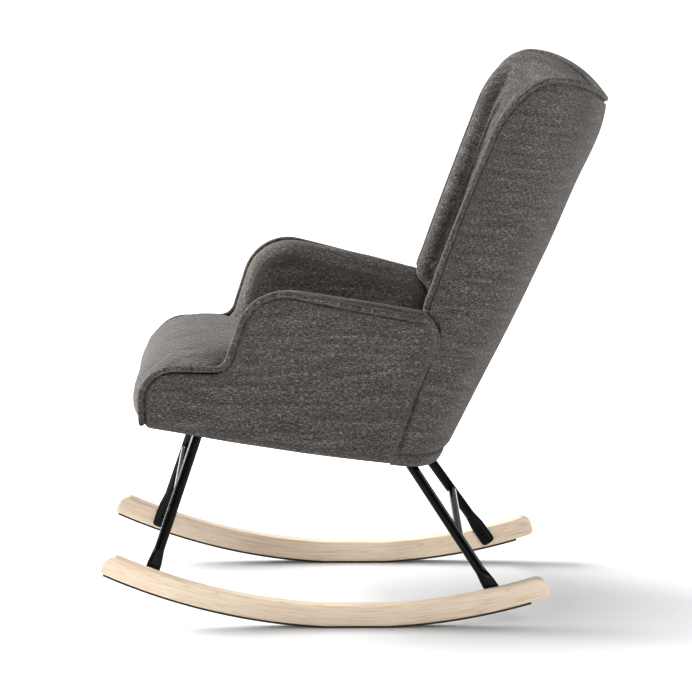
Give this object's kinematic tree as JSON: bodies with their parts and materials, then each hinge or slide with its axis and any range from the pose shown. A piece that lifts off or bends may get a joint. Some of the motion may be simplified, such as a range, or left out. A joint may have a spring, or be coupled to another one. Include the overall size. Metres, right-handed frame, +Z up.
{
  "type": "rocking chair",
  "caption": "Upholstered wing-back rocking chair with padded arms on bent steel legs and curved wooden rockers.",
  "frame": {"origin": "on the floor under the middle of the chair, between the flats that the rockers stand on", "axes": "+Z up, -Y the way the sitter faces, +X the sitter's left"},
  "size_m": [0.6962, 0.8988, 0.9662],
  "materials": {
    "grey_weave": "coarse dark grey melange weave",
    "foam": "upholstery foam under the same dark grey weave",
    "ash": "pale ash, clear satin lacquer",
    "plywood": "raw plywood",
    "black_paint": "gloss black enamel on steel",
    "rubber": "matt black",
    "zinc": "zinc plated",
    "black_lining": "thin black non-woven lining and webbing"
  },
  "bodies": {
    "root": {"arm_boxing_left": "grey_weave", "arm_boxing_right": "grey_weave", "arm_pad_left": "foam", "arm_pad_right": "foam", "arm_panel_left": "plywood", "arm_panel_right": "plywood", "back_bottom_rail": "ash", "back_cover": "grey_weave", "back_pad": "foam", "back_piping": "grey_weave", "back_top_rail": "ash", "back_webbing": "black_lining", "corner_block_front_left": "plywood", "corner_block_front_right": "plywood", "corner_block_rear_left": "plywood", "corner_block_rear_right": "plywood", "crossbar_front": "black_paint", "crossbar_rear": "black_paint", "dust_cover": "black_lining", "foot_screw_front_left": "black_paint", "foot_screw_front_right": "black_paint", "foot_screw_rear_left": "black_paint", "foot_screw_rear_right": "black_paint", "leg_front_left": "black_paint", "leg_front_right": "black_paint", "leg_plate_front_left": "black_paint", "leg_plate_front_right": "black_paint", "leg_plate_rear_left": "black_paint", "leg_plate_rear_right": "black_paint", "leg_rear_left": "black_paint", "leg_rear_right": "black_paint", "plate_bolt_front_left_1": "zinc", "plate_bolt_front_left_2": "zinc", "plate_bolt_front_right_1": "zinc", "plate_bolt_front_right_2": "zinc", "plate_bolt_rear_left_1": "zinc", "plate_bolt_rear_left_2": "zinc", "plate_bolt_rear_right_1": "zinc", "plate_bolt_rear_right_2": "zinc", "rear_base_band": "grey_weave", "rocker_left": "ash", "rocker_right": "ash", "rocker_strip_left": "rubber", "rocker_strip_right": "rubber", "seat_foam": "foam", "seat_front_roll": "grey_weave", "seat_rail_front": "ash", "seat_rail_left": "ash", "seat_rail_rear": "ash", "seat_rail_right": "ash", "seat_spring_1": "zinc", "seat_spring_2": "zinc", "seat_spring_3": "zinc", "side_cover_left": "grey_weave", "side_cover_right": "grey_weave", "side_piping_left": "grey_weave", "side_piping_right": "grey_weave", "wing_panel_left": "plywood", "wing_panel_right": "plywood"}
  },
  "joints": []
}
